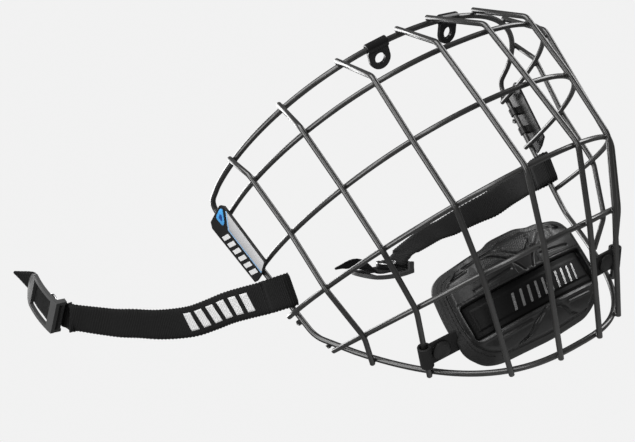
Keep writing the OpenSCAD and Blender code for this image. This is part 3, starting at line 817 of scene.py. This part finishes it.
# The tail's points: how far from the bar, how high above the frame's inner face, and how many degrees turned.
TAIL_RUN = [(3.5, 0, 0), (6, -0.2, 0), (9, -0.5, 0), (12, -0.7, 0), (15, -0.7, 0), (18, -0.5, 0),
            (21, -0.3, 0)]
TAIL_LEAF = {
    "right": [(24, -0.2, 0), (27, -0.1, 0), (30, -0.1, 0), (33, -0.1, 0), (35.8, 0.6, 0), (38.4, 2.4, 0),
              (41, 4.6, 0), (43.5, 6.8, 0), (45.8, 8.9, 0), (47.6, 10.6, 0)],
    "left": [(24, -0.7, 0), (27, -1.6, 5), (30, -2.8, 12), (33, -3.9, 20), (36, -4.2, 30), (39, -3.8, 38),
             (42, -2.8, 42), (45.5, -1, 40), (48.5, 0.7, 35), (50.5, 1.9, 30)],
}
TAIL_WIDTHS = [19, 19, 19, 19, 19, 19, 19, 19, 19, 18.6, 17.4, 15.4, 12.8, 9.8, 6.4, 3.8, 2]
SNAP_AT = 11.5
# The press stud's and its metal ring's profiles: radius and height.
STUD = [(0.01, -0.1), (6.3, -0.1), (6.55, -0.5), (6.55, -3.3), (5.9, -3.75), (5.0, -3.6), (4.6, -2.9),
        (3.4, -2.6), (2.9, -2.8), (2.6, -3.6), (2.1, -3.75), (2.0, -3.6), (2.0, -2.3), (0.01, -2.2)]
STUD_RING = [(6.2, -3.3), (5.9, -3.7), (5.95, -3.9), (6.35, -4.0), (6.7, -3.85), (6.72, -3.5), (6.68, -3.1),
             (6.4, -3.0)]


def arc_point(x, inset):
    """A point under the buckle's curved frame, in the buckle's own axes."""
    return vec(x, 0, math.sqrt((FRAME_R - inset) ** 2 - (x - MID) ** 2) - SINK)


def buckle_axes(name):
    """The bar's middle, and the directions along the frame, across it and out of its face."""
    s = STRAPS[name]
    x = s["along"]
    z = unit(np.cross(s["bar"], x)) if name == "right" else unit(np.cross(x, s["bar"]))
    return s["bar_at"], x, np.cross(z, x), z


def lathe(profile, at, x, y, z):
    """The profile turned about z through `at`."""
    seg = 64
    angle = np.arange(seg) * 2 * math.pi / seg
    verts = []
    for r, h in profile:
        for a in angle:
            verts.append(at + x * r * math.cos(a) + y * r * math.sin(a) + z * h)
    return verts, grid_faces(len(profile), seg, close_cols=True)


for name in ("right", "left"):
    at, x, y, z = buckle_axes(name)
    run = TAIL_RUN + TAIL_LEAF[name]
    local = [arc_point(q, BUCKLE_T / 2 + STRAP_T / 2 - lift) for q, lift, _ in run]
    sides = spline([y * math.cos(math.radians(a)) + z * math.sin(math.radians(a)) for _, _, a in run], 8)
    line = spline([at + x * q[0] + z * q[2] for q in local], 8)
    widths = np.interp(np.linspace(0, len(TAIL_WIDTHS) - 1, len(line)), range(len(TAIL_WIDTHS)), TAIL_WIDTHS)
    widths = np.convolve(np.pad(widths, 6, mode="edge"), np.ones(13) / 13, mode="valid")
    widths[-10:] = np.linspace(widths[-10], 1.6, 10)
    verts, faces, uv = ribbon(line, sides, widths, rib=0.05, edge_wave=0.06)
    make("tail_" + name, verts, faces, TAIL, "buckle_" + name, "strap_tail_" + name, "webbing", uv=uv)
    # a row of stitches along both edges of the leaf
    threads = []
    lengths = arc_lengths(line)
    for k in range(9):
        for c in (-1, 1):
            a = 30 + k * 2.3
            w = np.interp(a, lengths, widths) / 2 - 1.6
            if a > lengths[-1] - 5 or w < 1.5:
                continue
            for face in (1, -1):
                q, d, _, n = on_ribbon(line, sides, a, c * w, face * (STRAP_T / 2 + 0.05))
                threads.append(stitch(q, d, n * face, 1.5, 0.14))
    make("tail_seam_" + name, *join(threads), THREAD, "buckle_" + name, slot="webbing")
    base = arc_point(SNAP_AT, BUCKLE_T / 2 + STRAP_T + 0.7)[2] + 0.1
    centre = at + x * SNAP_AT + z * base
    make("press_stud_" + name, *lathe(STUD, centre, x, y, z), CAP, "buckle_" + name, "strap_snap_" + name,
         "snap", sharp=50)
    make("press_stud_ring_" + name, *lathe(STUD_RING, centre, x, y, z), RING, "buckle_" + name, slot="snap")


# ---- chin cup ----

# Half of the cup's outline (X and depth below its top), and how far its face rolls back (distance, depth).
CUP_EDGE = [(0, -0.6), (9, -0.6), (15, 1.8), (22, 1.7), (30, 2.6), (40, 3.6), (CUP_HALF - 4, 6.2),
            (CUP_HALF - 1, 12), (CUP_HALF, 26), (CUP_HALF, 38), (CUP_HALF - 2, 47), (CUP_HALF - 10, 55),
            (30, 58.5), (0, 60)]
CUP_ROLL = [(9, -2), (6, 1), (2, 6), (0, 13), (0, 41), (3, 48), (8, 53.5), (14, 58), (17, 60.5)]
CUP_MID = vec(0, -CUP_TOP - 30)


def cup_outline(count=480, inset=0.0):
    """The cup's rounded outline in X and Z, at even steps."""
    half = [(a, -CUP_TOP - b) for a, b in CUP_EDGE]
    ring = half + [(-a, b) for a, b in half[-2:0:-1]]
    ring = rounded(ring, 5.0, 5)
    ring = np.array(ring + [ring[0]])
    s = arc_lengths(ring)
    at = np.linspace(0, s[-1], count, endpoint=False)
    pts = np.stack([np.interp(at, s, ring[:, k]) for k in range(2)], 1)
    if inset:
        t = np.roll(pts, -2, 0) - np.roll(pts, 2, 0)
        t /= np.linalg.norm(t, axis=1)[:, None]
        n = np.stack([t[:, 1], -t[:, 0]], 1)
        n *= np.sign(((pts - CUP_MID) * n).sum(1))[:, None]
        pts = pts - n * inset
    return pts


def roll_back(z):
    depth = -z - CUP_TOP
    return np.interp(depth, [q[1] for q in CUP_ROLL], [q[0] for q in CUP_ROLL])


def soft_roll(z):
    """The roll, averaged over a few millimetres so that it has no creases."""
    return (roll_back(z - 2) + roll_back(z - 1) + roll_back(z) * 2 + roll_back(z + 1) + roll_back(z + 2)) / 6


def segment_distance(x, z, line):
    """Distance from each point to a drawn line."""
    best = np.full(x.shape, 1e9)
    for (ax, az), (bx, bz) in zip(line[:-1], line[1:]):
        dx, dz = bx - ax, bz - az
        t = np.clip(((x - ax) * dx + (z - az) * dz) / (dx * dx + dz * dz), 0, 1)
        best = np.minimum(best, np.hypot(x - ax - t * dx, z - az - t * dz))
    return best


# The moulded grooves, in X and Z.
ARC_LOW = spline([(-37, -120.9), (-29.1, -120.3), (-23.5, -121.3), (-16.1, -123.9), (-10.2, -128.5),
                  (-6.1, -132.4), (-2.3, -138.4)], 5)
ARC_HIGH = spline([(-24, -118.6), (-20.5, -118.9), (-14, -121.4), (-6.4, -126.4), (-0.9, -130.4)], 5)
CHEVRON = spline([(-3.7, -160.5), (-11, -164.6), (-15.9, -168.8), (-27.8, -171.7)], 5)
CHEVRON_IN = spline([(3.7, -161.5), (9.5, -165.2), (13.5, -168.6), (20, -169.6)], 5)


def ridge(distance, width):
    """1 on a line, falling off smoothly to its sides."""
    return np.exp(-(distance / width) ** 2)


def cup_relief(x, z, d):
    """How far the moulded detail stands out, and the dotted and cloth areas and the glossy area, which also
    carries a painted highlight; d is from the rim.
    """
    m = -np.abs(x)
    flange = np.where(np.abs(x) > 30, 5.2, 3.4)
    body = smooth(flange, flange + 1.7, d)
    out = 1.3 * body - 0.8 * ridge(d - flange - 0.2, 0.5) + 0.35 * ridge(d - 0.9, 0.9)
    # the recessed band and its frame
    bx, bz = np.abs(x) - BAND_HALF - 0.6 + 2, np.abs(z - BAND_Z) - BAND_RISE - 0.35 + 2
    box = np.hypot(np.maximum(bx, 0), np.maximum(bz, 0)) + np.minimum(np.maximum(bx, bz), 0) - 2
    inside = 1 - smooth(-0.55, 0.35, box)
    out += 0.35 * ridge(box - 1.0, 0.6) * body
    out = out * (1 - inside) - 2.3 * inside
    # the long rib and a short one under the band
    out += 1.3 * ridge(segment_distance(x, z, [(-41, -160.9), (41, -160.9)]), 0.85) * body
    out += 0.9 * ridge(segment_distance(m, z, [(-31, -163.6), (-12.5, -163.2)]), 0.55)
    # grooves, a short ridge at each top corner and a wedge under each arc
    for line, depth, wide in ((ARC_LOW, 1.4, 0.62), (ARC_HIGH, 1.0, 0.5), (CHEVRON, 1.4, 0.7)):
        out -= depth * ridge(segment_distance(m, z, line), wide) * body * (1 - inside)
    out -= 0.7 * ridge(segment_distance(-m, z, CHEVRON_IN), 0.6) * body
    out += 0.95 * ridge(segment_distance(m, z, [(-42.2, -128), (-34.5, -121.8)]), 0.6)
    wedge = segment_distance(m, z, [(-32, -135.6), (-10.5, -134.2)])
    out -= 0.9 * (1 - smooth(0.5, 1.1, wedge + np.abs(m + 14) * 0.02))
    # the raised panel between the two arcs, up to the top
    hump = (1 - smooth(22, 27, np.abs(x))) * smooth(-131, -127, z)
    out += 0.8 * hump
    sweep = smooth(0.0, 0.7, segment_distance(m, z, ARC_LOW)) * (z < -122) * (m < -8) * (z > -138)
    out += 0.5 * sweep * body
    # painted highlight: the raised panel's part towards +X, past a slanted line, is made smoother and painted
    # a lighter grey, while its other side stays dark
    glossy_and_painted_highlight = hump * smooth(9, 13, x + (z + 118) * -0.12)
    cloth = (1 - smooth(flange - 0.6, flange + 0.3, d)) * smooth(30, 36, np.abs(x))
    return out, hump, glossy_and_painted_highlight, cloth


def cup_surface(pts, out):
    """Outline points laid on the cup's round front, `out` proud of it."""
    r = CUP_R - soft_roll(pts[:, 1]) + out
    x = pts[:, 0]
    return np.stack([x, CUP_AXIS - np.sqrt(np.maximum(r ** 2 - x ** 2, 1)), pts[:, 1]], 1)


def cup_skin():
    """The moulded front, the rounded lip and the plain back, with each point's look."""
    rim = cup_outline()
    count = len(rim)
    closed = np.vstack([rim, rim[:1]])[::4]
    front, looks = [], []
    for f in np.concatenate([np.linspace(1, 0.86, 40, endpoint=False), np.linspace(0.86, 0.02, 90)]):
        pts = CUP_MID + (rim - CUP_MID) * f
        out, *areas = cup_relief(pts[:, 0], pts[:, 1], segment_distance(pts[:, 0], pts[:, 1], closed))
        front.append(cup_surface(pts, out))
        looks.append(np.stack([*areas, np.ones(count)], 1))
    lip = [cup_surface(CUP_MID + (rim - CUP_MID) * f, np.full(count, out))
           for f, out in ((1.004, -0.7), (1.0, -1.9), (0.99, -2.7))]
    back = [cup_surface(CUP_MID + (rim - CUP_MID) * f * 0.975, np.full(count, -3.0))
            for f in np.linspace(1, 0.03, 24)]
    verts, faces = closed_stack(front[::-1] + lip + back)
    plain = np.tile([0, 0, 0.5, 1], (len(verts) - len(front) * count, 1))
    return verts, faces, np.vstack(looks[::-1] + [plain])


def closed_stack(rings):
    """Rings of points, one after the other, with a point closing each end."""
    rows, count = len(rings), len(rings[0])
    verts = np.vstack(rings + [rings[0].mean(0)[None], rings[-1].mean(0)[None]])
    first, last = rows * count, (rows - 1) * count
    faces = grid_faces(rows, count, close_cols=True)
    faces += [(first, (k + 1) % count, k) for k in range(count)]
    faces += [(first + 1, last + k, last + (k + 1) % count) for k in range(count)]
    return verts, faces


def rim_stitches():
    """Stitches round the bound sides of the cup."""
    inner = cup_outline(inset=3.1)
    count = len(inner)
    threads = []
    for k in range(0, count, 4):
        p, q = inner[k], inner[(k + 3) % count]
        if abs(p[0]) < 33 or p[1] > -118:
            continue
        a, b = cup_surface(np.array([p, q]), np.array([0.16, 0.16]))
        n = unit(vec((a + b)[0] / 2, (a + b)[1] / 2 - CUP_AXIS, 0))
        threads.append(stitch((a + b) / 2, unit(b - a), n, np.linalg.norm(b - a), 0.2))
    return join(threads)


def on_front(x, z, r):
    """Points on an upright round of radius r about the cup's axis."""
    return np.stack([x, CUP_AXIS - np.sqrt(r ** 2 - x ** 2), z], -1)


def band_patch():
    """The glossy band: a curved plate with a raised middle and lowered edges."""
    n, m = 47, 165
    gx, gz = np.meshgrid(np.linspace(-BAND_HALF, BAND_HALF, m),
                         np.linspace(BAND_Z - BAND_RISE, BAND_Z + BAND_RISE, n))
    inwards = -np.maximum(np.abs(gx) - BAND_HALF, np.abs(gz - BAND_Z) - BAND_RISE)
    level = 0.45 * smooth(3.2, 4.0, inwards) - 0.35 * (1 - smooth(0, 0.8, inwards))
    front = on_front(gx, gz, CUP_R - 1.15 + level).reshape(-1, 3)
    back = on_front(gx, gz, CUP_R - 2.1).reshape(-1, 3)
    faces = [tuple(reversed(f)) for f in grid_faces(n, m)]
    faces += grid_faces(n, m, start=n * m)
    ring = list(range(m)) + [i * m + m - 1 for i in range(1, n)]
    ring += [(n - 1) * m + k for k in range(m - 2, -1, -1)] + [i * m for i in range(n - 2, 0, -1)]
    for a, b in zip(ring, ring[1:] + ring[:1]):
        faces.append((a, b, n * m + b, n * m + a))
    return np.vstack([front, back]), faces


FOIL_WIDE, FOIL_LEAN, FOIL_LOW, FOIL_HIGH, FOIL_FIRST, FOIL_PITCH = 1.5, 2.4, -154.4, -145.6, -18.5, 4.9


def foil_bar(x):
    """One plain slanted bar, a little raised on the band."""
    ring = rounded([(x, FOIL_LOW), (x + FOIL_WIDE, FOIL_LOW), (x + FOIL_WIDE + FOIL_LEAN, FOIL_HIGH),
                    (x + FOIL_LEAN, FOIL_HIGH)], 0.4)
    n = len(ring)
    verts = [on_front(q[0], q[1], CUP_R + lift) for lift in (-0.55, -0.42) for q in ring]
    faces = grid_faces(2, n, close_cols=True)
    faces += [tuple(range(n, 2 * n)), tuple(range(n - 1, -1, -1))]
    return verts, faces


def liner_pad():
    """The foam liner: a crowned pad with sewn channels."""
    ring = cup_outline(240, 6.5)
    rows = np.concatenate([[1.0, 0.995, 0.98], np.linspace(0.96, 0.03, 44)])
    front, back = [], []
    for f in rows:
        pts = CUP_MID + (ring - CUP_MID) * f
        x, z = pts[:, 0], pts[:, 1]
        crown = max(0.0, 1 - f ** 10) ** 0.5
        seam = np.minimum.reduce([np.abs(np.abs(x) - 17), np.abs(z + 147) + np.where(np.abs(x) < 17, 0, 60)])
        channel = 1 - 0.5 * np.exp(-(seam / 1.6) ** 2)
        thick = 4.6 * crown * channel + 0.3
        front.append(cup_surface(pts, np.full(len(x), -3.2)))
        back.append(cup_surface(pts, -3.2 - thick))
    return closed_stack(front[::-1] + back)


skin, skin_faces, look = cup_skin()
make("cup_skin", skin, skin_faces, CUP, "chin_cup", "cup_shell", "cup", colours=look)
make("cup_stitches", *rim_stitches(), THREAD, "chin_cup", slot="cup")
make("chin_band", *band_patch(), BAND, "chin_cup", "cup_band", "band", sharp=50)
foil = join([foil_bar(FOIL_FIRST + i * FOIL_PITCH) for i in range(10)])
make("band_foil", *foil, SILVER, "chin_cup", slot="band", sharp=40)
pad = make("liner_pad", *liner_pad(), FOAM, "chin_cup", "cup_liner", "liner")


# ---- floor, light, camera ----

# In metres, as Blender has it.
FLOOR_R, FLOOR_Y, FLOOR_BELOW, FLOOR_SIDES = 1.2, 0.05, 0.115, 64
FLOOR_CLEAR_FROM, FLOOR_CLEAR_TO = 0.2, 0.42
WORLD_LIGHT, WORLD_SEEN = 0.12, 0.885


def floor_material():
    """Pale and matt, fading out to the background."""
    m, tree, shader = material("floor_pale", Roughness=0.8, Specular_IOR_Level=0.1)
    shader.inputs["Base Color"].default_value = (0.6, 0.6, 0.6, 1)
    clear = add(tree, "ShaderNodeBsdfTransparent")
    mix = add(tree, "ShaderNodeMixShader")
    away = add(tree, "ShaderNodeVectorMath", operation="LENGTH")
    tree.links.new(object_coords(tree), away.inputs[0])
    fade = ramp(tree, away.outputs["Value"], [(FLOOR_CLEAR_FROM, 0.0), (FLOOR_CLEAR_TO, 1.0)])
    tree.links.new(fade, mix.inputs[0])
    tree.links.new(shader.outputs["BSDF"], mix.inputs[1])
    tree.links.new(clear.outputs["BSDF"], mix.inputs[2])
    tree.links.new(mix.outputs["Shader"], tree.nodes["Material Output"].inputs["Surface"])
    return m


floor_mesh = bpy.data.meshes.new("floor")
floor_z = cad_box[0].z - FLOOR_BELOW
angles = np.linspace(0, 2 * math.pi, FLOOR_SIDES, endpoint=False)
floor_rim = [(FLOOR_R * math.cos(a), FLOOR_Y + FLOOR_R * math.sin(a), floor_z) for a in angles]
floor_mesh.from_pydata(floor_rim, [], [tuple(range(FLOOR_SIDES))])
floor_mesh.materials.append(floor_material())
floor = bpy.data.objects.new("floor", floor_mesh)
bpy.context.scene.collection.objects.link(floor)


def studio_world():
    """A dim white surround that the camera sees as the pale background."""
    world = bpy.data.worlds.new("studio")
    bpy.context.scene.world = world
    world.use_nodes = True
    tree = world.node_tree
    around = tree.nodes["Background"]
    around.inputs["Color"].default_value = (1, 1, 1, 1)
    around.inputs["Strength"].default_value = WORLD_LIGHT
    seen = add(tree, "ShaderNodeBackground", Color=grey(WORLD_SEEN))
    rays = add(tree, "ShaderNodeLightPath")
    mix = add(tree, "ShaderNodeMixShader")
    tree.links.new(rays.outputs["Is Camera Ray"], mix.inputs[0])
    tree.links.new(around.outputs["Background"], mix.inputs[1])
    tree.links.new(seen.outputs["Background"], mix.inputs[2])
    tree.links.new(mix.outputs["Shader"], tree.nodes["World Output"].inputs["Surface"])


studio_world()


MIDDLE = (0, 0.03, -0.1)


def softbox(name, at, size, power, size_y=None):
    """A rectangular lamp turned to the middle of the cage."""
    data = bpy.data.lights.new(name, "AREA")
    data.shape = "RECTANGLE"
    data.size, data.size_y = size, size_y or size
    data.energy = power
    lamp = bpy.data.objects.new(name, data)
    lamp.location = at
    lamp.rotation_mode = "QUATERNION"
    lamp.rotation_quaternion = (Vector(MIDDLE) - Vector(at)).to_track_quat("-Z", "Y")
    bpy.context.scene.collection.objects.link(lamp)


softbox("key", (-0.55, -0.45, 0.8), 0.9, 11)
softbox("strip", (-0.5, -1.0, 0.1), 0.22, 3.0, 1.2)
softbox("near", (-1.1, -0.1, 0.1), 0.7, 6)
softbox("side", (0.95, -0.3, 0.25), 0.6, 5)
softbox("rear", (-0.2, 1.0, 0.6), 0.7, 7)

# The camera: where it stands in metres, the way it looks, the picture's right and the lens in millimetres.
CAMERA_AT = (-0.33751, -0.48670, -0.17976)
AHEAD = unit([0.4239, 0.8852, 0.1918])
RIGHT = square_off([0.8283, -0.2933, -0.4774], AHEAD)
SENSOR, LENS = 36, 65.197

camera_data = bpy.data.cameras.new("camera")
camera_data.sensor_width = SENSOR
camera_data.lens = LENS
camera_data.clip_start = 0.01
camera_data.clip_end = 20
camera = bpy.data.objects.new("camera", camera_data)
down = np.cross(AHEAD, RIGHT)
turn = Matrix([[RIGHT[i], -down[i], -AHEAD[i]] for i in range(3)])
camera.rotation_mode = "QUATERNION"
camera.rotation_quaternion = turn.to_quaternion()
camera.location = CAMERA_AT
bpy.context.scene.collection.objects.link(camera)
bpy.context.scene.camera = camera
bpy.context.scene.view_settings.view_transform = "Standard"
